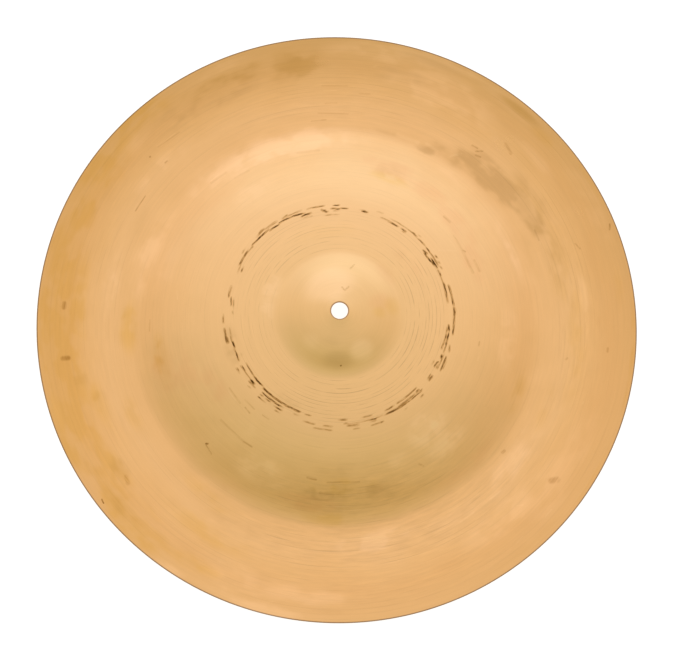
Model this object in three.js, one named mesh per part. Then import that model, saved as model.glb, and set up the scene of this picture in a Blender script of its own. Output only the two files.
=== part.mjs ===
// A china cymbal: one disc of bronze, cast, rolled, hammered and turned on a lathe.
// The bell, the bow and the flange are zones of that one sheet, so it is a single solid.
// Millimetres, +Z up. The origin is on the axis of the bore, in the plane that the cymbal lies on
// when it is put down with its bell up: it then touches with the underside of the knee,
// the lowest ring, where the bow turns up into the flange.

import * as THREE from "three";

// The disc as a whole
const discDiameter = 457.2; // an 18 inch cymbal
const boreDiameter = 12.5;
const edgeEase = 0.2; // the file's bevel on each corner of the rim and of the bore

// The crown, the flat ring round the bore where the felt washers bear
const crownWidth = 4.75;

// The bell, from the crown to its foot
const bellDiameter = 100;
const bellHeight = 12;
const bellFootAngle = 4.5;
const bellFlankAngle = 26; // where the bell is steepest
const bellFlankRadiusShare = 0.7;
const bellFlankDropShare = 0.66;

// The shoulder, nearly level, from the bell's foot to the turner's mark
const turnersMarkDiameter = 166;
const shoulderDrop = 3.7;
const turnersMarkAngle = 8.5;

// The bow, from the turner's mark down to the knee
const bowDrop = 27.5;
const bowFlankAngle = 28.5; // where the bow is steepest
const bowFlankRadiusShare = 0.74;
const bowFlankDropShare = 0.755;

// The knee and the flange that it turns up into
const flangeWidth = 67.1;
const flangeRise = 9.8;
const flangeLipAngle = 15.5;
const kneeBandWidth = 3; // the level band of the knee, which touches a table

// The sheet's thickness, which falls from the crown to the knee and from the knee to the rim
const crownWall = 1.3;
const kneeWall = 0.9;
const rimWall = 0.75;

// How finely the turned shape is cut into facets
const turnFacets = 72;
const bellFacets = [4, 4];
const shoulderFacets = 2;
const bowFacets = [5, 5];
const flangeFacets = 6;

const bronze = new THREE.MeshStandardMaterial({
  color: 0xe6b678,
  roughness: 0.35,
  metalness: 1,
});

const discRadius = discDiameter / 2;
const boreRadius = boreDiameter / 2;
const crownRadius = boreRadius + crownWidth;
const bellRadius = bellDiameter / 2;
const markRadius = turnersMarkDiameter / 2;
const kneeOuterRadius = discRadius - flangeWidth;
const kneeInnerRadius = kneeOuterRadius - kneeBandWidth;

const rise = (degrees) => Math.tan(THREE.MathUtils.degToRad(degrees));
const between = THREE.MathUtils.lerp;

// The upper face from the crown out to the rim, as stations: a radius, the height there,
// and the slope, which is negative where the face falls outwards.
function upperStations() {
  const kneeHeight = kneeWall;
  const markHeight = kneeHeight + bowDrop;
  const bellFootHeight = markHeight + shoulderDrop;
  const crownHeight = bellFootHeight + bellHeight;
  return [
    { radius: boreRadius, height: crownHeight, slope: 0, facets: 1 },
    { radius: crownRadius, height: crownHeight, slope: 0, facets: bellFacets[0] },
    {
      radius: between(crownRadius, bellRadius, bellFlankRadiusShare),
      height: between(crownHeight, bellFootHeight, bellFlankDropShare),
      slope: -rise(bellFlankAngle),
      facets: bellFacets[1],
    },
    { radius: bellRadius, height: bellFootHeight, slope: -rise(bellFootAngle), facets: shoulderFacets },
    { radius: markRadius, height: markHeight, slope: -rise(turnersMarkAngle), facets: bowFacets[0] },
    {
      radius: between(markRadius, kneeInnerRadius, bowFlankRadiusShare),
      height: between(markHeight, kneeHeight, bowFlankDropShare),
      slope: -rise(bowFlankAngle),
      facets: bowFacets[1],
    },
    { radius: kneeInnerRadius, height: kneeHeight, slope: 0, facets: 1 },
    { radius: kneeOuterRadius, height: kneeHeight, slope: 0, facets: flangeFacets },
    { radius: discRadius, height: kneeHeight + flangeRise, slope: rise(flangeLipAngle), facets: 0 },
  ];
}

// The smooth stretch between two stations: a Bezier that leaves and arrives at their slopes.
function stretch(from, to) {
  const third = (to.radius - from.radius) / 3;
  return new THREE.CubicBezierCurve(
    new THREE.Vector2(from.radius, from.height),
    new THREE.Vector2(from.radius + third, from.height + third * from.slope),
    new THREE.Vector2(to.radius - third, to.height - third * to.slope),
    new THREE.Vector2(to.radius, to.height),
  );
}

// The wall keeps one thickness over the crown and over the knee's band, so both are level
// underneath as well, and the band touches a table all round.
function wallAt(radius) {
  const { clamp, mapLinear } = THREE.MathUtils;
  if (radius < kneeOuterRadius) {
    const inside = clamp(radius, crownRadius, kneeInnerRadius);
    return mapLinear(inside, crownRadius, kneeInnerRadius, crownWall, kneeWall);
  }
  return mapLinear(radius, kneeOuterRadius, discRadius, kneeWall, rimWall);
}

// The upper face's points, each with its slope, so that the lower face can follow it.
function upperFace() {
  const stations = upperStations();
  const points = [];
  for (let i = 0; i < stations.length - 1; i++) {
    const { radius, height, slope, facets } = stations[i];
    points.push({ at: new THREE.Vector2(radius, height), slope });
    const curve = stretch(stations[i], stations[i + 1]);
    for (let k = 1; k < facets; k++) {
      const tangent = curve.getTangent(k / facets);
      points.push({ at: curve.getPoint(k / facets), slope: tangent.y / tangent.x });
    }
  }
  const rim = stations.at(-1);
  points.push({ at: new THREE.Vector2(rim.radius, rim.height), slope: rim.slope });
  return points;
}

// The lower face lies one wall thickness below the upper one, square to it.
function lowerFace(upper) {
  return upper.map(({ at, slope }, i) => {
    const wall = wallAt(at.x);
    const normal = new THREE.Vector2(-slope, 1).normalize();
    const onEdge = i === 0 || i === upper.length - 1;
    if (onEdge) {
      return new THREE.Vector2(at.x, at.y - wall / normal.y); // the rim and the bore are upright
    }
    return at.clone().addScaledVector(normal, -wall);
  });
}

// An upright edge with both corners eased, from its lower corner to its upper one.
// inward is the way into the metal: 1 at the bore and -1 at the rim.
function easedEdge(lower, upper, inward) {
  return [
    new THREE.Vector2(lower.x + inward * edgeEase, lower.y),
    new THREE.Vector2(lower.x, lower.y + edgeEase),
    new THREE.Vector2(upper.x, upper.y - edgeEase),
    new THREE.Vector2(upper.x + inward * edgeEase, upper.y),
  ];
}

// The whole section, once round: out along the lower face, up the rim, back along the upper
// face and down the bore to where it began.
function section() {
  const upperPoints = upperFace();
  const upper = upperPoints.map(({ at }) => at);
  const lower = lowerFace(upperPoints);
  const rim = easedEdge(lower.at(-1), upper.at(-1), -1);
  const bore = easedEdge(lower[0], upper[0], 1);
  const loop = [
    ...bore.slice(0, 1),
    ...lower.slice(1, -1),
    ...rim,
    ...upper.slice(1, -1).reverse(),
    ...bore.slice(1).reverse(),
  ];
  loop.push(loop[0].clone());
  return loop;
}

function makeCymbal() {
  const turned = new THREE.LatheGeometry(section(), turnFacets);
  turned.rotateX(Math.PI / 2); // the lathe turns about Y, and the cymbal's axis is Z
  const cymbal = new THREE.Mesh(turned, bronze);
  cymbal.name = "cymbal";
  return cymbal;
}

const chinaCymbal = new THREE.Group();
chinaCymbal.add(makeCymbal());

export default chinaCymbal;
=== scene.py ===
import math

import bmesh
import bpy
import numpy as np
from mathutils import Euler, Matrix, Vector


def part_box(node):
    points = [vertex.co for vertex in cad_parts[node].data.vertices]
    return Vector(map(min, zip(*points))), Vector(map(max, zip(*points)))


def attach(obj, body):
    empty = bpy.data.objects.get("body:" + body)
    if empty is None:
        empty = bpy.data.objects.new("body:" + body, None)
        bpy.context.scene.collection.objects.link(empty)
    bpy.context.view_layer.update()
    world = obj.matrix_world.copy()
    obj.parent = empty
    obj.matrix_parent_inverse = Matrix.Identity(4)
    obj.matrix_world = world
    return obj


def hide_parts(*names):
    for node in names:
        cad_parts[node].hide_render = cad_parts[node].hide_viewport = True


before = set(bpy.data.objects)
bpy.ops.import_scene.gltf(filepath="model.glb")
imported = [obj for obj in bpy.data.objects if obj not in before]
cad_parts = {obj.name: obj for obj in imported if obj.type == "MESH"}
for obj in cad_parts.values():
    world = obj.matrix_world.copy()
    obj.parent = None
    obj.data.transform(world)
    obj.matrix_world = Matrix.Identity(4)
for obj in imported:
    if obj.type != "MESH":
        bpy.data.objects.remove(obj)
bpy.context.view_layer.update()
print("frame loaded:", ", ".join(sorted(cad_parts)))

mm = 0.001
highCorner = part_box("cymbal")[1]
rimRadius = highCorner.x
crownHeight = highCorner.z
fullTurn = 2 * math.pi
mergeDistance = 0.001 * mm


# Camera: the photograph looks down on the bell, a little from the front, and is turned a few degrees
shot = {
    "width": 674,  # pixels
    "height": 660,
    "axisPixel": (338.1, 320.6),  # where the bore's axis crosses the plane of the rim
    "elevation": 77.34,  # degrees above the floor
    "roll": 8.7,
    "distance": 1.5,  # m, from the plane of the rim
    "lens": 105.2,  # mm
    "sensor": 36,
}


def placeCamera():
    data = bpy.data.cameras.new("photoCamera")
    data.lens = shot["lens"]
    data.sensor_width = shot["sensor"]
    camera = bpy.data.objects.new("photoCamera", data)
    bpy.context.scene.collection.objects.link(camera)
    bpy.context.scene.camera = camera

    turned = Euler((math.radians(90 - shot["elevation"]), 0, math.radians(shot["roll"])), "ZYX")
    camera.rotation_mode = "ZYX"
    camera.rotation_euler = turned
    pixelsPerUnit = shot["lens"] / shot["sensor"] * shot["width"]
    right = (shot["axisPixel"][0] - shot["width"] / 2) * shot["distance"] / pixelsPerUnit
    up = (shot["height"] / 2 - shot["axisPixel"][1]) * shot["distance"] / pixelsPerUnit
    middle = Vector((0, 0, disc["rimHeight"]))
    camera.location = middle - turned.to_matrix() @ Vector((right, up, -shot["distance"]))


# The disc: the CAD solid's section with rounded edges, which then takes the hammer's dents
disc = {
    "steps": 240,  # round the turn
    "boreRadius": 6.25 * mm,
    "boreRound": 0.7 * mm,  # the bore's upper edge is worn round by the stand
    "rimHeight": 10.7 * mm,  # upper face at the rim
    "edgeRound": 0.3 * mm,
    "roundSegments": 3,
    "crownWall": 1.3 * mm,
    "kneeWall": 0.9 * mm,
    "rimWall": 0.75 * mm,
    "crownRise": 0.5 * mm,  # the crown is a low dome: its middle is where the CAD's flat seat is
}

# Stations of the upper face: radius, height, and slope in degrees
boreEdge = (disc["boreRadius"], crownHeight + disc["crownRise"], -13)
crownEdge = (11 * mm, crownHeight - disc["crownRise"], -10.5)
bellFlank = (38.3 * mm, 36.18 * mm, -26)
bellFoot = (50 * mm, 32.1 * mm, -4.5)
turnersMark = (83 * mm, 28.4 * mm, -8.5)
bowFlank = (138.87 * mm, 7.637 * mm, -28.5)
kneeInner = (158.5 * mm, disc["kneeWall"], 0)
kneeOuter = (161.5 * mm, disc["kneeWall"], 0)
rim = (rimRadius, disc["rimHeight"], 15.5)
stations = [boreEdge, crownEdge, bellFlank, bellFoot, turnersMark, bowFlank, kneeInner, kneeOuter, rim]

# Rings of either face, zone by zone: where the zone ends and the space between rings
upperZones = [
    (crownEdge[0], 1.6 * mm),
    (bellFoot[0], 1.3 * mm),
    (91 * mm, 0.46 * mm),  # fine enough for the thin strokes of scale at the turner's mark
    (kneeInner[0], 0.93 * mm),
    (kneeOuter[0], 1 * mm),
    (rimRadius, 0.93 * mm),
]
lowerZones = [
    (crownEdge[0], 2.4 * mm),
    (kneeInner[0], 2.3 * mm),
    (kneeOuter[0], 1.5 * mm),
    (rimRadius, 2.3 * mm),
]


def onSection(radius):
    # height and slope of the smooth upper face
    for (r0, z0, a0), (r1, z1, a1) in zip(stations, stations[1:]):
        if radius <= r1 + mergeDistance:
            width = r1 - r0
            s0 = math.tan(math.radians(a0)) * width
            s1 = math.tan(math.radians(a1)) * width
            t = (radius - r0) / width
            height = (
                z0 * (2 * t**3 - 3 * t**2 + 1) + s0 * (t**3 - 2 * t**2 + t)
                + z1 * (3 * t**2 - 2 * t**3) + s1 * (t**3 - t**2)
            )
            slope = (
                (z0 - z1) * (6 * t**2 - 6 * t) + s0 * (3 * t**2 - 4 * t + 1) + s1 * (3 * t**2 - 2 * t)
            ) / width
            return height, slope
    return rim[1], math.tan(math.radians(rim[2]))


def wallAt(radius):
    if radius < kneeOuter[0]:
        inside = min(max(radius, crownEdge[0]), kneeInner[0])
        share = (inside - crownEdge[0]) / (kneeInner[0] - crownEdge[0])
        return disc["crownWall"] + (disc["kneeWall"] - disc["crownWall"]) * share
    share = (radius - kneeOuter[0]) / (rimRadius - kneeOuter[0])
    return disc["kneeWall"] + (disc["rimWall"] - disc["kneeWall"]) * share


def radiiOf(zones):
    radii = []
    start = disc["boreRadius"]
    for end, spacing in zones:
        count = max(1, round((end - start) / spacing))
        radii += [start + (end - start) * k / count for k in range(count)]
        start = end
    return radii + [rimRadius]


def sectionPoints():
    upper = [Vector((r, 0, onSection(r)[0])) for r in radiiOf(upperZones)]
    lower = []
    for r in radiiOf(lowerZones):
        height, slope = onSection(r)
        down = Vector((slope, 0, -1)).normalized() * wallAt(r)
        lower.append(Vector((r, 0, height)) + down)
    lower[0].x = disc["boreRadius"]
    lower[-1].x = rimRadius
    return upper, lower


def deselectAll():
    if bpy.context.mode != "OBJECT":
        bpy.ops.object.mode_set(mode="OBJECT")
    bpy.ops.object.select_all(action="DESELECT")


def extrudeBy(step):
    bpy.ops.mesh.extrude_region_move(TRANSFORM_OT_translate={"value": step})


def roundCorner(mesh, corner, size):
    edit = bmesh.from_edit_mesh(mesh)
    for vert in edit.verts:
        vert.select = (vert.co - corner).length < mergeDistance
    edit.select_flush(True)
    bmesh.update_edit_mesh(mesh)
    bpy.ops.mesh.bevel(offset=size, segments=disc["roundSegments"], affect="VERTICES")


def turnDisc():
    upper, lower = sectionPoints()
    deselectAll()
    bpy.ops.mesh.primitive_plane_add(size=mm)
    piece = bpy.context.object
    piece.name = piece.data.name = "cymbalDisc"
    bpy.ops.object.mode_set(mode="EDIT")
    bpy.ops.mesh.select_all(action="SELECT")
    bpy.ops.mesh.merge(type="CENTER")
    bpy.ops.transform.translate(value=upper[0])
    loop = upper + lower[::-1] + upper[:1]
    for here, there in zip(loop, loop[1:]):
        extrudeBy(there - here)
    bpy.ops.mesh.select_all(action="SELECT")
    bpy.ops.mesh.remove_doubles(threshold=mergeDistance)
    roundCorner(piece.data, upper[0], disc["boreRound"])
    for corner in (upper[-1], lower[0], lower[-1]):
        roundCorner(piece.data, corner, disc["edgeRound"])
    bpy.ops.mesh.select_all(action="SELECT")
    bpy.ops.mesh.spin(steps=disc["steps"], angle=fullTurn, center=(0, 0, 0), axis=(0, 0, 1))
    bpy.ops.mesh.select_all(action="SELECT")
    bpy.ops.mesh.remove_doubles(threshold=mergeDistance)
    bpy.ops.mesh.normals_make_consistent(inside=False)
    bpy.ops.object.mode_set(mode="OBJECT")
    bpy.ops.object.shade_smooth()
    return piece


hammering = {
    "dentSize": 27 * mm,
    "dentDepth": 1.1 * mm,
    "warpSize": 110 * mm,
    "warpDepth": 0.5 * mm,
}

# How far each zone takes the hammer, by radius
hammerShares = [
    (0, 0), (11 * mm, 0.05), (25 * mm, 0.35), (50 * mm, 0.12), (80 * mm, 0.10), (95 * mm, 0.35),
    (135 * mm, 0.8), (155 * mm, 1), (175 * mm, 0.5), (205 * mm, 0.25), (rimRadius, 0.15),
]


def hammerDisc(piece):
    group = piece.vertex_groups.new(name="hammered")
    radii, shares = zip(*hammerShares)
    for vert in piece.data.vertices:
        group.add([vert.index], float(np.interp(vert.co.xy.length, radii, shares)), "REPLACE")
    for name in ("dent", "warp"):
        texture = bpy.data.textures.new(name + "Clouds", "CLOUDS")
        texture.noise_scale = hammering[name + "Size"]
        texture.noise_depth = 1
        modifier = piece.modifiers.new(name, "DISPLACE")
        modifier.texture = texture
        modifier.texture_coords = "LOCAL"
        modifier.direction = "Z"
        modifier.strength = hammering[name + "Depth"]
        modifier.mid_level = 0.5
        modifier.vertex_group = group.name
        deselectAll()
        bpy.context.view_layer.objects.active = piece
        piece.select_set(True)
        bpy.ops.object.modifier_apply(modifier=name)
    lowest = min(vert.co.z for vert in piece.data.vertices)
    for vert in piece.data.vertices:
        vert.co.z -= lowest
    piece.vertex_groups.clear()


# Marks on the upper face are placed by their angle in degrees, clockwise from the right of the
# photograph, and by their radius in mm
def discPlace(angle, radius):
    turned = math.radians(shot["roll"] - angle)
    return Vector((math.cos(turned), math.sin(turned), 0)) * radius * mm


upperFacing = 0.2  # the upper face is where the normal's Z is more than this
lowerFacing = -0.3  # and the underside is where it is less than this


def upperPlaces(piece):
    # angle and radius of each point of the upper face, and the points' numbers
    count = len(piece.data.vertices)
    places = np.empty(count * 3)
    piece.data.vertices.foreach_get("co", places)
    places = places.reshape(count, 3)
    facing = np.array([vert.normal.z for vert in piece.data.vertices])
    upper = np.nonzero(facing > upperFacing)[0]
    x, y = places[upper, 0], places[upper, 1]
    angle = (shot["roll"] - np.degrees(np.arctan2(y, x))) % 360
    return angle, np.hypot(x, y) / mm, upper


def storePaint(piece, name, upper, values):
    layer = piece.data.attributes.new(name, "FLOAT", "POINT")
    painted = np.zeros(len(piece.data.vertices))
    painted[upper] = values
    layer.data.foreach_set("value", painted)


# Black scale left at the turner's mark, where one cut of the lathe ends and the next begins:
# start and end angle, radius at either, thickness in mm, strength
scaleStrokes = [
    (355, 370, 87.2, 86.8, 1.2, 0.6), (356, 360, 88.4, 87.4, 1.0, 0.5), (5, 8.7, 82.8, 84.0, 1.3, 0.85),
    (8.5, 15.5, 83.8, 83.3, 0.8, 0.85), (13.5, 15.8, 83.4, 83.6, 1.0, 1.0), (6, 11, 82.0, 82.0, 0.8, 0.4),
    (10, 18.5, 82.2, 81.0, 1.0, 0.55), (15, 20, 84.0, 83.2, 0.7, 0.5), (15.5, 18.5, 86.3, 87.3, 1.0, 0.5),
    (20.5, 29, 84.3, 84.0, 0.6, 0.55), (21, 23, 83.0, 83.0, 1.5, 0.75), (21, 28.8, 86.3, 86.9, 1.0, 0.65),
    (23, 28, 87.7, 87.8, 0.8, 0.35), (25.2, 26.8, 82.6, 81.6, 1.2, 0.9), (26, 29, 82.0, 81.2, 0.8, 0.6),
    (26.5, 28.8, 83.8, 82.8, 1.2, 0.55), (25.5, 28.5, 79.4, 78.8, 1.2, 0.25),
    (33, 37.2, 83.8, 83.2, 1.8, 0.65), (33.5, 36.5, 82.2, 82.2, 0.8, 0.65),
    (42.5, 46, 84.1, 83.9, 0.7, 0.8), (43.3, 46, 82.4, 82.3, 1.0, 1.0), (45, 58, 83.9, 83.6, 0.9, 0.5),
    (46, 57.5, 82.4, 82.4, 1.0, 0.45), (44, 57.8, 80.0, 80.0, 0.7, 0.5),
    (44, 45.4, 87.2, 87.2, 1.2, 0.55), (54.5, 56, 87.0, 87.0, 0.8, 0.3), (57, 66, 83.4, 83.1, 1.2, 0.6),
    (60, 63, 83.5, 83.4, 0.7, 0.8), (59.5, 65, 80.1, 80.5, 0.8, 0.55), (66, 71, 82.8, 83.0, 0.6, 0.3),
    (67.5, 74.5, 87.3, 87.2, 0.6, 0.55), (70.5, 75, 83.8, 82.9, 1.0, 0.8),
    (71.3, 73.5, 84.9, 84.5, 0.7, 0.55), (72.5, 77.8, 80.3, 79.9, 0.8, 0.65),
    (75, 86, 83.0, 82.9, 0.5, 0.35), (80, 86.5, 84.6, 84.2, 1.8, 0.35),
    (85.3, 87.5, 82.7, 82.6, 0.6, 0.7), (80, 83, 87.2, 87.2, 0.6, 0.4), (85.3, 90, 79.9, 79.9, 0.9, 0.6),
    (93, 103, 87.7, 87.7, 0.8, 0.35), (93, 98, 84.9, 85.0, 0.8, 0.4), (102, 108, 85.1, 84.9, 0.8, 0.45),
    (105, 109, 79.7, 80.0, 0.8, 0.5), (112, 114, 82.6, 82.6, 1.0, 0.6),
    (111.5, 136, 79.6, 79.6, 1.3, 0.6), (122, 134, 79.7, 79.4, 0.7, 0.75),
    (121, 134, 82.4, 82.3, 0.8, 0.9), (120.5, 124.5, 84.5, 84.5, 0.8, 0.7),
    (121, 124, 86.9, 86.7, 0.7, 0.5), (128, 130.5, 84.0, 84.0, 0.8, 0.6),
    (132, 134.5, 84.3, 84.3, 0.8, 0.7), (130, 132, 86.7, 86.7, 0.8, 0.7),
    (132, 134.3, 86.7, 86.6, 0.7, 0.75), (136, 144, 78.9, 79.2, 1.3, 0.7),
    (138, 142, 79.2, 79.2, 0.7, 0.8), (144, 152.5, 79.0, 78.6, 0.8, 0.5),
    (139.5, 143, 82.5, 82.5, 1.2, 0.95), (138.5, 143, 84.1, 84.2, 0.7, 0.6),
    (140, 141.5, 86.8, 86.8, 0.7, 0.35), (143, 149, 82.4, 82.8, 0.7, 0.35),
    (148.5, 152.3, 82.4, 83.0, 1.2, 0.7), (149.5, 152, 86.8, 86.5, 1.3, 0.55),
    (157, 158.5, 79.0, 78.8, 0.8, 0.4), (154.5, 159.5, 83.0, 82.3, 1.0, 0.7),
    (159, 163, 82.8, 82.4, 0.8, 0.65), (162, 166, 82.2, 82.2, 1.3, 0.8),
    (165.5, 168.8, 82.9, 82.8, 0.7, 0.55), (168, 173, 82.6, 82.6, 0.6, 0.25),
    (165, 173.2, 86.8, 86.4, 1.4, 0.55), (165.2, 169, 85.6, 85.8, 1.3, 0.5),
    (175.5, 180, 87.2, 86.8, 1.0, 0.4), (180, 181.8, 80.0, 80.0, 0.7, 0.5),
    (185, 189.5, 81.4, 82.2, 0.8, 0.55), (184, 189, 79.6, 80.2, 0.6, 0.4),
    (188.7, 190.7, 84.2, 84.3, 1.0, 0.85), (190, 196, 84.3, 84.0, 1.7, 0.38),
    (203.5, 207, 83.2, 83.5, 1.0, 0.55), (204, 206.9, 80.9, 80.9, 0.8, 0.65),
    (206.5, 216.5, 84.3, 85.0, 1.4, 0.5), (214, 219.5, 84.7, 83.8, 1.0, 0.4),
    (213, 216, 87.6, 87.6, 1.2, 0.3), (219.5, 223, 85.2, 85.0, 0.8, 0.65),
    (222.6, 225.8, 84.9, 84.9, 1.0, 1.0), (225.5, 227, 85.0, 85.0, 0.8, 0.65),
    (227, 231.2, 84.9, 85.1, 1.0, 1.0), (224.5, 230, 87.0, 88.0, 1.3, 0.4),
    (226.8, 228.5, 88.3, 88.3, 0.7, 0.6), (231, 237.3, 84.1, 83.8, 0.8, 0.8),
    (237, 240.5, 84.5, 84.8, 0.9, 0.9), (230, 238, 87.0, 87.0, 1.8, 0.3),
    (240, 246.8, 84.9, 84.6, 0.8, 0.8), (241, 244, 87.0, 87.2, 1.8, 0.5),
    (240, 251, 86.5, 86.6, 0.8, 0.35), (246.5, 250, 84.6, 84.1, 1.1, 0.9),
    (248.5, 250.5, 86.8, 86.8, 1.3, 0.45), (250, 252.6, 81.8, 82.6, 1.3, 1.0),
    (249.5, 252, 84.2, 83.4, 1.0, 0.8), (252, 255.5, 82.0, 82.4, 1.5, 0.6),
    (250, 256, 80.5, 79.5, 0.8, 0.25), (253.5, 263.5, 86.4, 86.3, 0.6, 0.55),
    (260.7, 264, 83.5, 80.9, 1.3, 1.0), (261.5, 263, 82.9, 81.6, 1.4, 1.0),
    (262, 270, 78.5, 78.5, 0.7, 0.35), (266, 268.6, 83.6, 83.6, 0.8, 0.8),
    (267.7, 271, 86.2, 86.2, 0.7, 0.9), (268.5, 270.5, 83.0, 83.0, 1.0, 0.7),
    (270.5, 274.8, 83.8, 83.7, 0.7, 0.65), (267.5, 270, 81.9, 81.8, 1.2, 0.4),
    (282, 286.2, 83.7, 83.2, 1.1, 0.85), (281.5, 284, 84.2, 84.2, 0.8, 0.5),
    (290, 293.5, 86.7, 86.8, 0.8, 0.35), (292.5, 300, 83.2, 83.1, 0.8, 0.4),
    (297, 303.7, 82.6, 83.0, 1.0, 0.7), (298, 313, 85.4, 85.8, 0.5, 0.45),
    (304.7, 308.3, 83.2, 83.2, 1.0, 0.9), (306, 308.3, 82.1, 82.0, 1.2, 0.45),
    (311, 315, 86.3, 85.1, 0.9, 0.55), (313.3, 315, 87.7, 87.7, 0.7, 0.5),
    (315, 321, 85.4, 85.4, 0.7, 0.6), (321, 333, 85.2, 85.0, 0.8, 0.6),
    (321.5, 325, 82.2, 80.9, 1.0, 0.85), (324.5, 329.5, 80.9, 81.5, 1.0, 0.85),
    (322, 324.5, 82.9, 82.8, 1.0, 0.6), (327.8, 334.2, 83.2, 83.2, 0.9, 1.0),
    (329, 332, 82.0, 82.0, 0.8, 0.6), (327.3, 329.7, 87.2, 87.2, 1.3, 0.6),
    (330, 332.5, 86.8, 86.7, 0.8, 0.5), (333, 334.7, 87.2, 86.0, 1.2, 0.5),
    (334, 338.7, 83.4, 83.2, 1.0, 0.65), (338, 343, 83.0, 83.0, 0.6, 0.35),
    (342.5, 353.4, 83.3, 82.8, 1.4, 0.6), (345, 348, 83.3, 83.2, 0.8, 0.7),
    (344, 354.6, 86.5, 87.0, 1.4, 0.6), (351, 355, 86.9, 87.6, 0.8, 0.6),
]
strokeEdge = {
    "along": 0.8,  # degrees over which a stroke's ends fade
    "across": 0.45,  # mm over which its sides fade
    "core": 0.4,  # share of its thickness, from its middle, that doesn't fade
}


def paintScaleMarks(piece):
    angle, radius, upper = upperPlaces(piece)
    values = np.zeros(len(upper))
    for start, end, fromRadius, toRadius, thickness, strength in scaleStrokes:
        length = end - start
        past = (angle - start) % 360
        along = np.clip(np.minimum(past, length - past) / strokeEdge["along"], 0, 1)
        middle = fromRadius + (toRadius - fromRadius) * np.clip(past / length, 0, 1)
        aside = np.abs(radius - middle) - strokeEdge["core"] * thickness
        across = np.clip(1 - aside / strokeEdge["across"], 0, 1)
        values = np.maximum(values, strength * along * across)
    storePaint(piece, "scaleMarks", upper, values)


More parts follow.
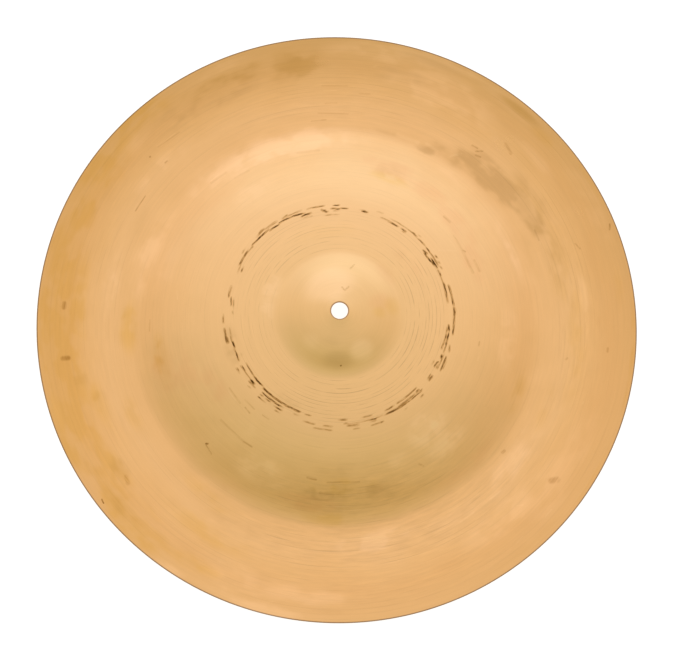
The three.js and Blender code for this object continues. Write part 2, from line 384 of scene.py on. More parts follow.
# Soft patches of the finish: angle, radius, reach round in degrees and across in mm, strength
patches = {
    # golden tarnish, most of it on the flange
    "golden": [
        (172, 213, 26, 18, 1.0), (160, 207, 12, 13, 0.75), (151, 211, 8, 14, 0.65),
        (138, 218, 8, 10, 1.0), (146, 202, 6, 8, 0.8), (154, 223, 5, 6, 0.9), (133, 222, 6, 6, 0.8),
        (141, 208, 8, 6, 0.6), (128, 214, 7, 6, 0.5), (160, 191, 6, 7, 0.85), (120, 213, 7, 7, 0.65),
        (180, 200, 16, 8, 0.75), (192, 214, 10, 12, 0.8), (205, 214, 8, 10, 0.8), (212, 214, 8, 14, 0.8),
        (228, 219, 7, 6, 0.6), (224, 226, 8, 4, 0.9), (211, 224, 9, 5, 0.9), (198, 224, 7, 5, 0.6),
        (7, 226, 13, 2, 0.5), (33, 226, 10, 2, 0.3), (52, 223, 13, 5, 0.15), (352, 217, 6, 5, 0.3),
        (330, 226, 8, 2, 0.3), (121, 188, 11, 10, 0.5), (125, 165, 11, 9, 0.4), (179, 160, 8, 8, 0.7),
        (156, 171, 6, 7, 0.4), (168, 137, 9, 7, 0.7), (22, 147, 7, 6, 0.4), (24, 170, 9, 7, 0.3),
        (88, 128, 12, 7, 0.5), (91, 151, 10, 6, 0.5), (352, 40, 12, 7, 0.5), (0, 30, 10, 6, 0.5),
        (327, 180, 9, 9, 0.3), (341, 177, 20, 13, 0.3), (200, 206, 6, 5, 0.5), (310, 222, 6, 4, 0.5),
        (317, 219, 4, 5, 0.4), (290, 118, 9, 5, 0.5), (4, 184, 18, 9, 0.35), (136, 203, 6, 5, 0.5),
        (219, 219, 6, 6, 0.6), (263, 66, 30, 9, 0.2), (261, 210, 7, 15, 0.45), (246, 213, 12, 8, 0.5),
    ],
    # brown smudges of handling, and painted shade on the bell's front flank
    "smudgeAndShade": [
        (304, 160, 5, 6, 0.65), (309, 168, 6, 7, 1.0), (315, 167, 6, 10, 1.1), (321, 169, 6, 9, 1.1),
        (326, 173, 6, 9, 1.0), (332, 174, 6, 8, 0.9), (326, 184, 8, 6, 0.5), (341, 175, 12, 10, 0.4),
        (300, 163, 4, 4, 0.8), (296.5, 156, 3, 4, 0.9), (284.5, 159, 4, 3, 0.4), (288, 125, 7, 8, 0.3),
        (310, 222, 6, 4, 0.55), (240, 202, 13, 8, 0.5), (246, 212, 12, 8, 0.6), (261, 208, 7, 14, 0.52),
        (289, 222, 8, 5, 0.35), (92, 219, 6, 5, 0.3), (52, 222, 12, 5, 0.2), (245, 222, 6, 5, 0.2),
        (274, 225, 8, 4, 0.2), (232, 210, 8, 8, 0.35), (209, 204, 5, 6, 0.4), (284.5, 208, 6, 4, 0.4),
        (289, 204, 5, 3, 0.4), (281, 202, 3, 4, 0.3), (167, 200, 2, 8, 0.3), (162, 188, 2, 7, 0.45),
        (145.5, 198, 3, 8, 0.5), (138, 215, 6, 7, 0.45), (156, 184, 4, 6, 0.3), (156, 171, 5, 5, 0.2),
        (184, 165, 5, 4, 0.3), (172, 214, 16, 14, 0.15), (96, 134, 6, 5, 0.7), (82, 133, 11, 6, 0.6),
        (75, 140, 5, 5, 0.3), (60, 128, 5, 2.5, 0.3), (86, 116, 12, 6, 0.3), (22, 147, 6, 5, 0.25),
        (92, 36, 20, 8, 0.6), (104, 24, 20, 6, 0.3), (165, 134, 8, 8, 0.3), (318, 64, 8, 6, 0.25),
        (120, 76, 8, 5, 0.35), (163, 84, 12, 7, 0.5), (129, 84, 8, 4, 0.3), (117, 176, 9, 8, 0.35),
        (134, 186, 6, 6, 0.2), (60, 223, 14, 5, 0.15), (206, 172, 8, 5, 0.25), (340, 160, 11, 5, 0.25),
        (150, 215, 5, 8, 0.25), (312, 176, 8, 5, 0.5), (319, 47, 12, 6, 0.2), (140, 123, 8, 6, 0.25),
    ],
    # pale places: partly cleaner bronze, partly painted highlight, as on the back of the bell round the
    # bore
    "pale": [
        (252, 148, 25, 13, 0.8), (232, 150, 14, 12, 0.5), (294, 204, 13, 14, 1.0), (281, 220, 14, 8, 0.8),
        (290, 225, 12, 4, 0.7), (308, 222, 8, 6, 0.5), (245, 221, 7, 6, 0.6), (320, 204, 7, 5, 0.5),
        (222, 212, 5, 8, 0.4), (81, 169, 11, 9, 0.8), (58, 172, 12, 9, 0.3), (97, 210, 13, 9, 0.6),
        (112, 211, 9, 12, 0.6), (106, 225, 14, 5, 0.8), (123, 226, 4, 3, 0.6), (163, 224, 5, 5, 0.35),
        (50, 195, 11, 11, 0.7), (41, 212, 8, 8, 0.4), (26, 209, 7, 8, 0.4), (68, 117, 6, 6, 0.4),
        (195, 54, 24, 8, 0.5), (36, 201, 14, 12, 0.5), (38, 170, 12, 10, 0.6), (8, 131, 14, 9, 0.5),
        (52, 108, 9, 12, 0.8), (50, 125, 9, 8, 0.7), (117, 130, 10, 11, 0.8), (129, 108, 6, 6, 0.3),
        (250, 22, 50, 14, 1.0), (225, 24, 20, 9, 0.6), (60, 33, 17, 8, 0.85), (134, 31, 14, 7, 0.4),
        (335, 218, 12, 8, 0.4), (304, 196, 8, 7, 0.4), (335, 146, 12, 5, 0.5), (308, 148, 8, 5, 0.3),
        (32, 165, 5, 4, 0.4), (356, 214, 9, 6, 0.2), (356, 191, 9, 5, 0.5), (200, 155, 15, 10, 0.6),
        (222, 185, 10, 8, 0.5), (190, 176, 8, 8, 0.5), (196, 138, 10, 10, 0.3), (235, 120, 12, 10, 0.3),
        (270, 84, 10, 6, 0.2), (275, 172, 12, 8, 0.2), (146, 147, 6, 7, 0.3), (47, 176, 7, 7, 0.35),
    ],
    # where the bronze is a little redder
    "rosy": [
        (290, 127, 13, 8, 1.0), (305, 123, 10, 8, 1.0), (320, 118, 12, 9, 0.9), (335, 112, 12, 9, 0.7),
        (150, 108, 10, 9, 0.7), (165, 136, 9, 10, 1.0), (158, 122, 12, 10, 0.6), (98, 141, 10, 6, 0.8),
        (48, 148, 14, 6, 0.5), (345, 31, 13, 10, 0.7), (125, 150, 12, 6, 0.5), (325, 66, 16, 8, 0.4),
        (230, 132, 12, 6, 0.3), (60, 200, 40, 12, 0.15), (319, 47, 14, 7, 0.5),
    ],
    # where the light shows the lathe's lines and the grain most: the lines' painted shade, their relief
    # and the grain are stronger there
    "linesShownByLight": [
        (76, 172, 42, 20, 1.0), (84, 136, 30, 16, 1.0), (0, 184, 34, 16, 0.5), (88, 66, 38, 20, 1.0),
        (345, 66, 40, 18, 0.8), (18, 66, 34, 16, 1.0), (270, 180, 26, 20, 0.35), (225, 66, 50, 18, 0.5),
        (180, 185, 26, 16, 0.15), (315, 172, 16, 12, 0.3), (235, 200, 26, 14, 0.15),
        (88, 205, 45, 14, 0.45),
    ],
}


def paintPatches(piece):
    angle, radius, upper = upperPlaces(piece)
    for name, places in patches.items():
        values = np.zeros(len(upper))
        for middleAngle, middleRadius, reachRound, reachAcross, strength in places:
            turned = (angle - middleAngle + 180) % 360 - 180
            away = np.hypot(turned / reachRound, (radius - middleRadius) / reachAcross)
            values = np.maximum(values, strength * np.exp(-away**3))
        storePaint(piece, name, upper, values)


# Single marks: the angle and radius where each begins and ends, its width in mm, its strength
darkMarks = [
    (36.3, 204.5, 37.2, 201.5, 4.0, 0.28), (141.8, 200.5, 143.2, 198.5, 2.8, 0.2),
    (141.4, 223.9, 142.2, 223.3, 0.9, 0.95), (172, 210.5, 172, 206.5, 3.2, 0.42),
    (182.8, 209, 183.8, 209, 2.8, 0.4), (5.5, 207.5, 6.2, 207.5, 1.6, 0.22), (8.7, 178, 9, 177, 1.6, 0.2),
    (38, 160, 38.8, 159.5, 1.8, 0.3), (209.5, 179.3, 214, 179.5, 0.8, 0.4),
    (225, 197, 231, 195.3, 0.8, 0.15), (222, 196, 222.2, 196, 0.9, 0.8),
    (223.5, 184.5, 224.2, 184.5, 0.9, 0.35), (266.5, 191.3, 272.5, 191.2, 0.9, 0.12),
    (267, 177, 270, 177.3, 1.0, 0.14), (265, 169.5, 273, 168.8, 1.0, 0.13),
    (263, 163.5, 267, 163.8, 1.0, 0.2), (275.5, 185.8, 278, 186.3, 1.0, 0.14),
    (308.2, 176, 309.5, 179.5, 1.2, 0.35), (306.5, 178, 308, 178.6, 1.3, 0.3),
    (308.8, 173.5, 310, 174.5, 1.3, 0.3), (334, 170.5, 337, 170, 1.0, 0.2),
    (341, 195, 342.5, 197, 1.0, 0.35), (339.8, 224.5, 340.8, 223, 1.2, 0.35),
    (312.5, 195.5, 315, 192.5, 2.0, 0.2), (324, 109.3, 331, 108.5, 1.6, 0.14),
    (331, 109, 331.8, 110, 1.2, 0.25), (331, 108.2, 341, 108.5, 1.8, 0.16),
    (315.5, 114.2, 318.5, 114.3, 1.8, 0.2), (336.5, 113.5, 341, 114, 1.8, 0.16),
    (136, 136.5, 136.4, 137.2, 1.2, 0.9), (133, 139.8, 136, 138, 0.9, 0.3),
    (123.5, 118, 127, 118.5, 1.3, 0.3), (127, 118.4, 138.5, 118, 1.4, 0.15),
    (132, 99.8, 135, 99, 1.0, 0.25), (138, 99.5, 146, 98.8, 1.2, 0.16),
    (131.5, 95.4, 137.5, 95.2, 1.0, 0.18), (123.5, 95, 127, 95, 0.8, 0.25),
    (10, 108, 11.5, 108.2, 1.3, 0.2), (257, 137.4, 264, 136.6, 1.8, 0.09),
    (228.5, 147.5, 234, 147.2, 1.6, 0.1), (235, 138, 240, 137.5, 1.8, 0.07),
    (177, 143.6, 180.5, 143.3, 0.9, 0.15), (92, 134, 96, 133, 2.0, 0.16),
    (60.5, 128.5, 61.5, 126, 1.2, 0.2), (98, 124, 101, 123.5, 1.4, 0.3), (83, 125.2, 94, 125, 0.9, 0.22),
    (88.2, 40, 88.6, 40.2, 1.0, 0.8), (284, 35, 287, 39, 1.2, 0.25), (284.6, 16.6, 290, 20, 1.4, 0.22),
    (276, 18.5, 282, 16.8, 1.2, 0.25),
    # the blackest of the scale
    (261.2, 83.3, 263.4, 81.3, 1.6, 0.95), (250.2, 81.8, 252.3, 82.5, 1.2, 0.9),
    (43.6, 82.4, 45.2, 82.4, 1.0, 0.9), (25.5, 82.4, 26.4, 81.8, 1.0, 0.8),
    (14.2, 83.6, 15.3, 83.6, 0.9, 0.9), (223.2, 84.9, 225.3, 84.9, 0.9, 0.85),
    (227.6, 84.9, 230.6, 85, 0.9, 0.85), (268.2, 86.2, 268.6, 86.2, 0.9, 0.9),
    (282.5, 83.4, 284.5, 83.2, 1.1, 0.85), (329, 83.2, 333.5, 83.2, 0.9, 0.8),
]
paleMarks = [
    (287.5, 159, 293.5, 158.5, 3.0, 0.6), (303.5, 161, 305.5, 167.5, 1.6, 0.8),
    (296, 160.5, 299.5, 159.5, 2.2, 0.6), (209.5, 180.6, 211.5, 181, 0.7, 0.6),
    (225, 198.3, 230, 196.6, 0.8, 0.5), (215, 186.5, 218, 184.8, 0.8, 0.5),
    (266, 192.4, 273, 192.6, 0.6, 0.4), (267, 187.5, 270, 187, 0.8, 0.6),
    (278, 208, 278.6, 209, 1.4, 0.5), (279, 219.5, 283, 219, 1.0, 0.4),
    (315.9, 177.5, 316.1, 177.8, 0.9, 0.9), (332, 171, 338, 170, 1.1, 0.4),
    (309, 172.3, 318, 171.8, 0.8, 0.35), (132, 101.2, 135, 100.8, 0.7, 0.5),
    (140, 100.8, 145, 100.8, 0.8, 0.45), (16, 109.8, 17.5, 110, 0.9, 0.6),
    (229, 149.3, 232, 150, 1.1, 0.4), (187, 123, 190, 124.5, 0.7, 0.5), (326, 92, 330, 104, 1.4, 0.25),
    (42, 215, 44, 215.2, 0.8, 0.5), (50, 214.3, 52, 215, 0.8, 0.5), (45.3, 197, 46.3, 194.5, 0.9, 0.5),
    (46.5, 178, 50, 177.2, 1.0, 0.5), (55, 177.5, 59, 177.8, 1.0, 0.6),
    (19.5, 213, 20.5, 212.8, 0.8, 0.5), (18, 197, 18.6, 196.6, 0.8, 0.5), (103, 218, 104, 219, 1.0, 0.5),
]


# Materials
def addNode(tree, kind, inputs=None, **settings):
    node = tree.nodes.new(kind)
    for name, value in settings.items():
        setattr(node, name, value)
    for name, value in (inputs or {}).items():
        if isinstance(value, bpy.types.NodeSocket):
            tree.links.new(value, node.inputs[name])
        else:
            node.inputs[name].default_value = value
    return node


def calc(tree, operation, first, second=0.0, third=0.0, clamp=False):
    node = addNode(tree, "ShaderNodeMath", {0: first, 1: second, 2: third}, operation=operation)
    node.use_clamp = clamp
    return node.outputs[0]


def vectorCalc(tree, operation, first, second=(0, 0, 0)):
    return addNode(tree, "ShaderNodeVectorMath", {0: first, 1: second}, operation=operation).outputs


def scaled(tree, vector, scale):
    return addNode(tree, "ShaderNodeVectorMath", {0: vector, "Scale": scale}, operation="SCALE").outputs[0]


def remap(tree, value, low, high, toLow=0.0, toHigh=1.0, smooth=True):
    kind = "SMOOTHSTEP" if smooth else "LINEAR"
    inputs = {"Value": value, "From Min": low, "From Max": high, "To Min": toLow, "To Max": toHigh}
    return addNode(tree, "ShaderNodeMapRange", inputs, interpolation_type=kind).outputs["Result"]


def blendColour(tree, share, first, second, kind="MIX"):
    node = addNode(tree, "ShaderNodeMix", data_type="RGBA", blend_type=kind)
    for index, value in ((0, share), (6, first), (7, second)):
        if isinstance(value, bpy.types.NodeSocket):
            tree.links.new(value, node.inputs[index])
        else:
            node.inputs[index].default_value = value
    return node.outputs[2]


def rampColour(tree, share, stops):
    node = addNode(tree, "ShaderNodeValToRGB", {0: share})
    ramp = node.color_ramp
    ramp.interpolation = "LINEAR"
    for end, (where, colour) in ((0, stops[0]), (-1, stops[-1])):
        ramp.elements[end].position = where
        ramp.elements[end].color = colour
    for where, colour in stops[1:-1]:
        ramp.elements.new(where).color = colour
    return node.outputs[0]


def noise(tree, vector, scale=1.0, detail=2.0, roughness=0.5):
    inputs = {"Vector": vector, "Scale": scale, "Detail": detail, "Roughness": roughness}
    return addNode(tree, "ShaderNodeTexNoise", inputs).outputs["Fac"]


def sway(tree, value, amount, middle):
    # the middle, moved up and down by a noise
    return calc(tree, "MULTIPLY_ADD", calc(tree, "SUBTRACT", value, 0.5), amount, middle)


def newGroup(name, inputs, outputs):
    group = bpy.data.node_groups.new(name, "ShaderNodeTree")
    sockets = group.interface
    for socketName, kind, value in inputs:
        socket = sockets.new_socket(name=socketName, in_out="INPUT", socket_type="NodeSocket" + kind)
        if value is not None:
            socket.default_value = value
    for socketName, kind in outputs:
        sockets.new_socket(name=socketName, in_out="OUTPUT", socket_type="NodeSocket" + kind)
    return group, group.nodes.new("NodeGroupInput").outputs, group.nodes.new("NodeGroupOutput").inputs


def useGroup(tree, group, inputs):
    node = tree.nodes.new("ShaderNodeGroup")
    node.node_tree = group
    for name, value in inputs.items():
        if isinstance(value, bpy.types.NodeSocket):
            tree.links.new(value, node.inputs[name])
        else:
            node.inputs[name].default_value = value
    return node.outputs


def makeAroundGroup():
    # radius from the axis, the place without its height, and a vector that goes round with the angle
    # in X and Y and has the radius in Z
    group, given, result = newGroup(
        "aroundTheDisc",
        [("Vector", "Vector", None)],
        [("Radius", "Float"), ("Flat", "Vector"), ("Round", "Vector")],
    )
    flat = vectorCalc(group, "MULTIPLY", given["Vector"], (1, 1, 0))[0]
    radius = vectorCalc(group, "LENGTH", flat)["Value"]
    unit = addNode(group, "ShaderNodeSeparateXYZ", {0: vectorCalc(group, "NORMALIZE", flat)[0]}).outputs
    joined = addNode(group, "ShaderNodeCombineXYZ", {"X": unit["X"], "Y": unit["Y"], "Z": radius})
    group.links.new(radius, result["Radius"])
    group.links.new(flat, result["Flat"])
    group.links.new(joined.outputs[0], result["Round"])
    return group


def makeBrushingGroup():
    # fine turned texture: noise that is long round the disc and short across it
    group, given, result = newGroup(
        "turnedBrushing",
        [("Round", "Vector", None), ("Along", "Float", 1.0), ("Across", "Float", 400.0)],
        [("Brushing", "Float")],
    )
    fineness = {"X": given["Along"], "Y": given["Along"], "Z": given["Across"]}
    stretch = addNode(group, "ShaderNodeCombineXYZ", fineness).outputs[0]
    place = vectorCalc(group, "MULTIPLY", given["Round"], stretch)[0]
    group.links.new(noise(group, place, roughness=0.6), result["Brushing"])
    return group


# The lathe's lines, which are relief in the bronze and painted shade in its colour: where each zone of
# them begins and ends, their pitch and depth, how much painted shade darkens them, and how often they fade
# along the turn
grooveZones = {
    "shoulder": {
        "start": 50 * mm, "end": 82 * mm, "pitch": 2.8 * mm, "depth": 0.05 * mm,
        "darkness": 0.26, "fading": 4.0,
    },
    "bow": {
        "start": 92 * mm, "end": 156 * mm, "pitch": 3.6 * mm, "depth": 0.05 * mm,
        "darkness": 0.10, "fading": 5.5,
    },
    "flange": {
        "start": 163 * mm, "end": 226 * mm, "pitch": 3.6 * mm, "depth": 0.06 * mm,
        "darkness": 0.11, "fading": 5.0,
    },
}

# How the lines differ from each other
grooveHabits = {
    "wander": 90.0,  # how fast their spacing changes with the radius, per m
    "drift": 0.9,  # how far they lie from a steady pitch at most, in pitches
    "apart": 3.7,  # how far the fading of one lies from that of the next
    "fade": (0.38, 0.62),  # in the noise that they fade by
    "weakest": 0.3,  # strength of the weakest line
}


def makeGroovesGroup():
    # single lines at a steady pitch, each of its own strength, that fade in and out along the turn
    group, given, result = newGroup(
        "latheGrooves",
        [
            ("Radius", "Float", 0.0), ("Round", "Vector", None), ("Start", "Float", 0.0),
            ("End", "Float", 1.0), ("Pitch", "Float", 5 * mm), ("Width", "Float", 0.2),
            ("Fading", "Float", 5.0),
        ],
        [("Grooves", "Float")],
    )
    wander = calc(group, "MULTIPLY", given["Radius"], grooveHabits["wander"])
    inputs = {"W": wander, "Scale": 1.0, "Detail": 0.0}
    drift = addNode(group, "ShaderNodeTexNoise", inputs, noise_dimensions="1D").outputs["Fac"]
    past = calc(group, "SUBTRACT", given["Radius"], given["Start"])
    count = calc(group, "DIVIDE", past, given["Pitch"])
    count = sway(group, drift, grooveHabits["drift"], count)
    aside = calc(group, "ABSOLUTE", calc(group, "SUBTRACT", calc(group, "FRACT", count), 0.5))
    line = remap(group, aside, given["Width"], 0.0)
    number = calc(group, "FLOOR", count)
    own = addNode(group, "ShaderNodeTexWhiteNoise", {"W": number}, noise_dimensions="1D").outputs["Value"]
    turn = scaled(group, vectorCalc(group, "MULTIPLY", given["Round"], (1, 1, 0))[0], given["Fading"])
    apart = calc(group, "MULTIPLY", number, grooveHabits["apart"])
    lift = addNode(group, "ShaderNodeCombineXYZ", {"Z": apart}).outputs[0]
    fade = noise(group, vectorCalc(group, "ADD", turn, lift)[0], detail=1.0)
    weakest = grooveHabits["weakest"]
    own = calc(group, "MULTIPLY_ADD", own, 1 - weakest, weakest)
    strength = calc(group, "MULTIPLY", remap(group, fade, *grooveHabits["fade"]), own)
    afterStart = calc(group, "GREATER_THAN", given["Radius"], given["Start"])
    beforeEnd = calc(group, "LESS_THAN", given["Radius"], given["End"])
    inside = calc(group, "MULTIPLY", afterStart, beforeEnd)
    line = calc(group, "MULTIPLY", line, calc(group, "MULTIPLY", strength, inside))
    group.links.new(line, result["Grooves"])
    return group


markSides = (0.85, 0.2)  # a mark fades between these shares of its width, on each side of its line


def makeMarkGroup():
    # Adds one short straight mark, soft at its sides, to those found so far. They travel in the Z of
    # a vector whose X and Y are the place, from one mark to the next, so the shader stays small.
    group, given, result = newGroup(
        "addMark",
        [
            ("Carried", "Vector", None), ("From", "Vector", None), ("Along", "Vector", None),
            ("Shorten", "Float", 0.0), ("Width", "Float", 1 * mm), ("Strength", "Float", 1.0),
        ],
        [("Carried", "Vector")],
    )
    carried = addNode(group, "ShaderNodeSeparateXYZ", {0: given["Carried"]}).outputs
    flat = vectorCalc(group, "MULTIPLY", given["Carried"], (1, 1, 0))[0]
    past = vectorCalc(group, "SUBTRACT", flat, given["From"])[0]
    reached = vectorCalc(group, "DOT_PRODUCT", past, given["Along"])["Value"]
    share = calc(group, "MULTIPLY", reached, given["Shorten"], clamp=True)
    nearest = scaled(group, given["Along"], share)
    aside = vectorCalc(group, "LENGTH", vectorCalc(group, "SUBTRACT", past, nearest)[0])["Value"]
    mark = remap(group, calc(group, "DIVIDE", aside, given["Width"]), *markSides)
    most = calc(group, "MAXIMUM", carried["Z"], calc(group, "MULTIPLY", mark, given["Strength"]))
    joined = addNode(group, "ShaderNodeCombineXYZ", {"X": carried["X"], "Y": carried["Y"], "Z": most})
    group.links.new(joined.outputs[0], result["Carried"])
    return group


bronze = {
    # colour by radius, pale inside the knee and darker towards the rim: partly the tan of handling, partly
    # painted shade, as the stops follow the broad shading by radius
    "tarnishAndShadeByRadius": [
        (0 * mm, (0.905, 0.605, 0.29, 1)),
        (32 * mm, (0.885, 0.585, 0.274, 1)),
        (52 * mm, (0.92, 0.612, 0.30, 1)),
        (83 * mm, (0.935, 0.613, 0.303, 1)),
        (112 * mm, (0.92, 0.60, 0.292, 1)),
        (150 * mm, (0.88, 0.545, 0.247, 1)),
        (178 * mm, (0.887, 0.556, 0.259, 1)),
        (192 * mm, (0.865, 0.53, 0.23, 1)),
        (206 * mm, (0.823, 0.49, 0.203, 1)),
        (228 * mm, (0.80, 0.482, 0.198, 1)),
    ],
    # how each kind of patch tints the bronze
    "golden": (0.95, 0.912, 0.69, 1),
    # the smudges' tint is partly painted shade, on the bell's front flank
    "smudgeAndShade": (0.815, 0.80, 0.745, 1),
    "rosy": (0.985, 0.94, 0.935, 1),
    # the pale tint brightens and whitens: cleaner bronze, and painted highlight
    "pale": (1.11, 1.14, 1.27, 1),
    "paleMark": (1.08, 1.12, 1.20, 1),
    # how a dark mark tints it, from none to black scale
    "scaleStops": [
        (0.0, (1, 1, 1, 1)),
        (0.5, (0.60, 0.51, 0.355, 1)),
        (1.0, (0.12, 0.085, 0.04, 1)),
    ],
    # the tint of the rim's rounded edge, which is painted shade for the dark outline, and of the bore's
    # rounded edge, and the radii between which each comes in
    "rimEdgeShade": ((0.42, 0.42, 0.52, 1), 227.4 * mm, 228.1 * mm),
    "boreEdge": ((0.50, 0.46, 0.52, 1), 7.5 * mm, 6.7 * mm),
    "underside": (0.93, 0.90, 0.86, 1),
    "roughness": 0.3,
    "roughnessSway": 0.12,
    "scaleRoughness": 0.25,  # how much rougher black scale is
    "anisotropic": 0.4,
    "brushingDepth": 0.004 * mm,
    "cloudFineness": 22.0,  # per m, of the tone's soft clouds
    "colourSway": 0.12,  # how far the clouds shift the colour by radius, as a share of it
    # how far each noise sways the tone
    "toneSways": {"fine": 0.07, "broad": 0.05, "clouds": 0.05},
    "grainSway": (0.06, 0.26),  # everywhere, and what the places add where the light shows the lines most
    "lineStrength": (0.45, 0.9),  # the same for the lathe's lines
    "lineWidth": 0.14,  # half a line's width, as a share of the pitch
    # near the axis the long noises would turn into rays, so they come in with the radius:
    # from and to radius, from and to share
    "outsideTheBell": (35 * mm, 62 * mm, 0.0, 1.0),
    "grainOutwards": (86 * mm, 115 * mm, 0.25, 1.0),
    # how noises break up the paint: from and to in the noise, from and to in strength
    "raggedPatches": (0.38, 0.6, -0.45, 0.2),
    "streakedScale": (0.36, 0.62, 0.45, 1.5),
    "wornMarks": (0.3, 0.65, 0.3, 1.0),
    "patchEdge": (0.04, 0.9),  # between these strengths a patch comes in
    "markReach": 7 * mm,  # faces nearer than this to a mark take the material that draws the marks
    # noises that run long round the disc: how fine each is along the turn and across it
    "brushings": {
        "fine": (0.9, 1100.0),
        "broad": (0.7, 240.0),
        "grain": (11.0, 500.0),
        "streaks": (16.0, 1100.0),
        "blotches": (7.0, 70.0),
    },
}


def tint(tree, colour, share, tintColour):
    return blendColour(tree, share, colour, blendColour(tree, 1.0, colour, tintColour, "MULTIPLY"))


def makeBareBronze(name, groups):
    # the turned bronze itself, which both faces share
    material = bpy.data.materials.new(name)
    material.use_nodes = True
    tree = material.node_tree
    shader = tree.nodes["Principled BSDF"]
    place = addNode(tree, "ShaderNodeTexCoord").outputs["Object"]
    around = useGroup(tree, groups["around"], {"Vector": place})
    radius = around["Radius"]
    finish = {"material": material, "tree": tree, "shader": shader, "around": around}
    for brushing, (along, across) in bronze["brushings"].items():
        inputs = {"Round": around["Round"], "Along": along, "Across": across}
        finish[brushing] = useGroup(tree, groups["brushing"], inputs)["Brushing"]
    finish["clouds"] = noise(tree, place, scale=bronze["cloudFineness"], detail=3.0)
    finish["outside"] = remap(tree, radius, *bronze["outsideTheBell"])
    linesShownByLight = addNode(tree, "ShaderNodeAttribute", attribute_name="linesShownByLight").outputs["Fac"]

    shade = 0.0
    relief = 0.0
    for zone in grooveZones.values():
        inputs = {
            "Radius": radius, "Round": around["Round"], "Start": zone["start"], "End": zone["end"],
            "Pitch": zone["pitch"], "Width": bronze["lineWidth"], "Fading": zone["fading"],
        }
        grooves = useGroup(tree, groups["grooves"], inputs)["Grooves"]
        # each zone's lines add painted shade
        shade = calc(tree, "MULTIPLY_ADD", grooves, zone["darkness"], shade)
        relief = calc(tree, "MULTIPLY_ADD", grooves, zone["depth"] / bronze["brushingDepth"], relief)
    # the lines' painted shade grows where the light shows them most
    least, more = bronze["lineStrength"]
    lineStrength = calc(tree, "MULTIPLY_ADD", linesShownByLight, more, least)
    shade = calc(tree, "MULTIPLY", shade, lineStrength)
    relief = calc(tree, "MULTIPLY", relief, lineStrength)

    # the colour by radius holds painted shade as well as tarnish
    outwards = calc(tree, "DIVIDE", radius, rimRadius)
    share = sway(tree, finish["clouds"], bronze["colourSway"], outwards)
    colour = rampColour(tree, share, [(r / rimRadius, metal) for r, metal in bronze["tarnishAndShadeByRadius"]])
    tone = 1.0
    for part, amount in bronze["toneSways"].items():
        tone = sway(tree, finish[part], amount, tone)
    grain = calc(tree, "SUBTRACT", finish["grain"], 0.5)
    grain = calc(tree, "MULTIPLY", grain, remap(tree, radius, *bronze["grainOutwards"]))
    grain = calc(tree, "MULTIPLY", grain, finish["outside"])
    least, more = bronze["grainSway"]
    tone = calc(tree, "MULTIPLY_ADD", grain, calc(tree, "MULTIPLY_ADD", linesShownByLight, more, least), tone)
    tone = calc(tree, "SUBTRACT", tone, shade)
    toneColour = addNode(tree, "ShaderNodeCombineColor", {0: tone, 1: tone, 2: tone}).outputs[0]
    colour = blendColour(tree, 1.0, colour, toneColour, "MULTIPLY")
    # the rim's edge tint is painted shade
    for edge in ("rimEdgeShade", "boreEdge"):
        edgeTint, comesIn, isFull = bronze[edge]
        colour = tint(tree, colour, remap(tree, radius, comesIn, isFull), edgeTint)
    finish["colour"] = colour
    finish["roughness"] = sway(tree, finish["clouds"], bronze["roughnessSway"], bronze["roughness"])

    shader.inputs["Metallic"].default_value = 1
    shader.inputs["Anisotropic"].default_value = bronze["anisotropic"]
    tangent = addNode(tree, "ShaderNodeTangent", direction_type="RADIAL", axis="Z").outputs[0]
    tree.links.new(tangent, shader.inputs["Tangent"])
    height = calc(tree, "SUBTRACT", finish["fine"], relief)
    inputs = {"Strength": 1.0, "Distance": bronze["brushingDepth"], "Height": height}
    tree.links.new(addNode(tree, "ShaderNodeBump", inputs).outputs[0], shader.inputs["Normal"])
    return finish


def markMask(tree, groups, flat, marks):
    carried = flat
    for fromAngle, fromRadius, toAngle, toRadius, width, strength in marks:
        start = discPlace(fromAngle, fromRadius)
        along = discPlace(toAngle, toRadius) - start
        inputs = {
            "Carried": carried, "From": start, "Along": along, "Shorten": 1 / along.length_squared,
            "Width": width * mm, "Strength": strength,
        }
        carried = useGroup(tree, groups["mark"], inputs)["Carried"]
    return addNode(tree, "ShaderNodeSeparateXYZ", {0: carried}).outputs["Z"]


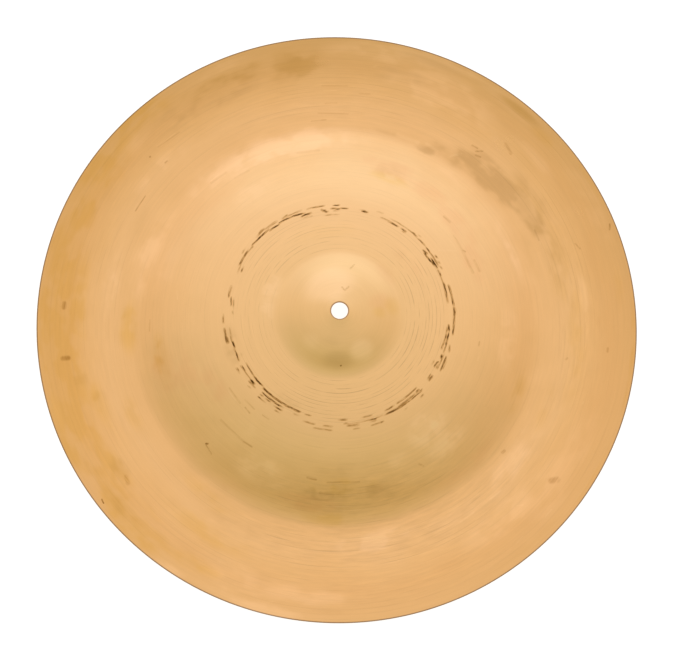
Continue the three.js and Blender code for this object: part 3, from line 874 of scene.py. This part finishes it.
def makeUpperBronze(name, groups, withMarks):
    finish = makeBareBronze(name, groups)
    tree, shader, colour = finish["tree"], finish["shader"], finish["colour"]
    # patches break up into streaks at their edges
    ragged = remap(tree, finish["blotches"], *bronze["raggedPatches"])
    ragged = calc(tree, "MULTIPLY_ADD", ragged, finish["outside"], 1.0)
    # the smudge patches also paint shade, and the pale patches also paint highlight
    for patch in ("golden", "smudgeAndShade", "pale", "rosy"):
        painted = addNode(tree, "ShaderNodeAttribute", attribute_name=patch).outputs["Fac"]
        broken = calc(tree, "MULTIPLY", painted, ragged)
        colour = tint(tree, colour, remap(tree, broken, *bronze["patchEdge"]), bronze[patch])

    dark = addNode(tree, "ShaderNodeAttribute", attribute_name="scaleMarks").outputs["Fac"]
    streaked = remap(tree, finish["streaks"], *bronze["streakedScale"])
    dark = calc(tree, "MULTIPLY", dark, streaked, clamp=True)
    if withMarks:
        flat = finish["around"]["Flat"]
        worn = remap(tree, finish["streaks"], *bronze["wornMarks"])
        drawn = calc(tree, "MULTIPLY", markMask(tree, groups, flat, darkMarks), worn)
        dark = calc(tree, "MAXIMUM", dark, drawn)
        pale = calc(tree, "MULTIPLY", markMask(tree, groups, flat, paleMarks), worn)
        colour = tint(tree, colour, pale, bronze["paleMark"])
    colour = blendColour(tree, 1.0, colour, rampColour(tree, dark, bronze["scaleStops"]), "MULTIPLY")
    tree.links.new(colour, shader.inputs["Base Color"])
    roughness = calc(tree, "MULTIPLY_ADD", dark, bronze["scaleRoughness"], finish["roughness"])
    tree.links.new(roughness, shader.inputs["Roughness"])
    return finish["material"]


def makeLowerBronze(groups):
    finish = makeBareBronze("undersideBronze", groups)
    tree, shader = finish["tree"], finish["shader"]
    colour = blendColour(tree, 1.0, finish["colour"], bronze["underside"], "MULTIPLY")
    tree.links.new(colour, shader.inputs["Base Color"])
    tree.links.new(finish["roughness"], shader.inputs["Roughness"])
    return finish["material"]


def nearMarks(places):
    # which of the places lie near a single mark
    near = np.zeros(len(places), bool)
    for fromAngle, fromRadius, toAngle, toRadius, *_ in darkMarks + paleMarks:
        start = np.array(discPlace(fromAngle, fromRadius).xy)
        along = np.array(discPlace(toAngle, toRadius).xy) - start
        share = np.clip((places - start) @ along / (along @ along), 0, 1)
        away = places - start - share[:, None] * along
        near |= np.hypot(away[:, 0], away[:, 1]) < bronze["markReach"]
    return near


def dressDisc(piece, groups):
    faces = piece.data.polygons
    # slot 0 is the upper face's bronze, slot 1 the same with the single marks, slot 2 the underside's
    piece.data.materials.append(makeUpperBronze("turnedBronze", groups, False))
    piece.data.materials.append(makeUpperBronze("markedBronze", groups, True))
    piece.data.materials.append(makeLowerBronze(groups))
    middles = np.empty(len(faces) * 3)
    faces.foreach_get("center", middles)
    marked = nearMarks(middles.reshape(-1, 3)[:, :2])
    for face in faces:
        face.material_index = 2 if face.normal.z < lowerFacing else int(marked[face.index])


# Studio: a pale floor, and light that comes from behind the cymbal and dims towards the camera
studio = {
    "floorSize": 16,  # m
    "floorColour": (0.25, 0.25, 0.25, 1),
    "floorRoughness": 0.9,
    "floorGlow": 0.92,
    "background": (1, 1, 1, 1),
    # by how far back the light comes from, -1 to 1
    "skyStops": [
        (-1.0, (0.54, 0.49, 0.30, 1)),
        (-0.7, (0.60, 0.55, 0.345, 1)),
        (-0.45, (0.745, 0.715, 0.55, 1)),
        (-0.16, (0.77, 0.72, 0.61, 1)),
        (0.22, (0.951, 0.851, 0.749, 1)),
        (0.45, (0.975, 0.905, 0.856, 1)),
        (0.57, (0.985, 0.92, 0.90, 1)),
        (0.80, (1.11, 1.09, 1.13, 1)),
        (1.0, (1.105, 1.12, 1.19, 1)),
    ],
    # how the light is tinted at either side, and how fast that comes in
    "rightShade": (0.91, 0.87, 0.79, 1),
    "leftShade": (0.99, 0.975, 0.96, 1),
    "sideFall": 1.5,
}


def layFloor():
    deselectAll()
    bpy.ops.mesh.primitive_plane_add(size=studio["floorSize"])
    floor = bpy.context.object
    floor.name = "studioFloor"
    material = bpy.data.materials.new("paleFloor")
    material.use_nodes = True
    tree = material.node_tree
    shader = tree.nodes["Principled BSDF"]
    shader.inputs["Base Color"].default_value = studio["floorColour"]
    shader.inputs["Roughness"].default_value = studio["floorRoughness"]
    shader.inputs["Emission Color"].default_value = (1, 1, 1, 1)
    shader.inputs["Emission Strength"].default_value = studio["floorGlow"]
    clear = tree.nodes.new("ShaderNodeBsdfTransparent").outputs[0]
    seenFromBelow = tree.nodes.new("ShaderNodeNewGeometry").outputs["Backfacing"]
    mixed = addNode(tree, "ShaderNodeMixShader", {0: seenFromBelow, 1: shader.outputs[0], 2: clear})
    tree.links.new(mixed.outputs[0], tree.nodes["Material Output"].inputs["Surface"])
    floor.data.materials.append(material)


def lightStudio():
    world = bpy.data.worlds.new("studio")
    bpy.context.scene.world = world
    world.use_nodes = True
    tree = world.node_tree
    tree.nodes.clear()
    direction = addNode(tree, "ShaderNodeTexCoord").outputs["Generated"]
    towards = addNode(tree, "ShaderNodeSeparateXYZ", {0: direction}).outputs
    back = remap(tree, towards["Y"], -1, 1, smooth=False)
    light = rampColour(tree, back, [((y + 1) / 2, colour) for y, colour in studio["skyStops"]])
    for side, name in ((1, "rightShade"), (-1, "leftShade")):
        aside = calc(tree, "MULTIPLY", towards["X"], side, clamp=True)
        share = calc(tree, "POWER", aside, studio["sideFall"])
        shade = blendColour(tree, share, (1, 1, 1, 1), studio[name])
        light = blendColour(tree, 1.0, light, shade, "MULTIPLY")
    sky = addNode(tree, "ShaderNodeBackground", {"Color": light}).outputs[0]
    plain = addNode(tree, "ShaderNodeBackground", {"Color": studio["background"]}).outputs[0]
    seen = addNode(tree, "ShaderNodeLightPath").outputs["Is Camera Ray"]
    mixed = addNode(tree, "ShaderNodeMixShader", {0: seen, 1: sky, 2: plain}).outputs[0]
    tree.links.new(mixed, tree.nodes.new("ShaderNodeOutputWorld").inputs["Surface"])
    bpy.context.scene.view_settings.view_transform = "Standard"


placeCamera()
layFloor()
lightStudio()
print("studio and camera ready")

cymbal = turnDisc()
print("disc turned:", len(cymbal.data.vertices), "vertices")
hammerDisc(cymbal)
print("disc hammered")
paintScaleMarks(cymbal)
paintPatches(cymbal)
print("marks painted")

groups = {
    "around": makeAroundGroup(),
    "brushing": makeBrushingGroup(),
    "grooves": makeGroovesGroup(),
    "mark": makeMarkGroup(),
}
dressDisc(cymbal, groups)
print("bronze finished")

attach(cymbal, "root")
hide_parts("cymbal")
print("disc finished:", sum(len(face.vertices) - 2 for face in cymbal.data.polygons), "triangles")
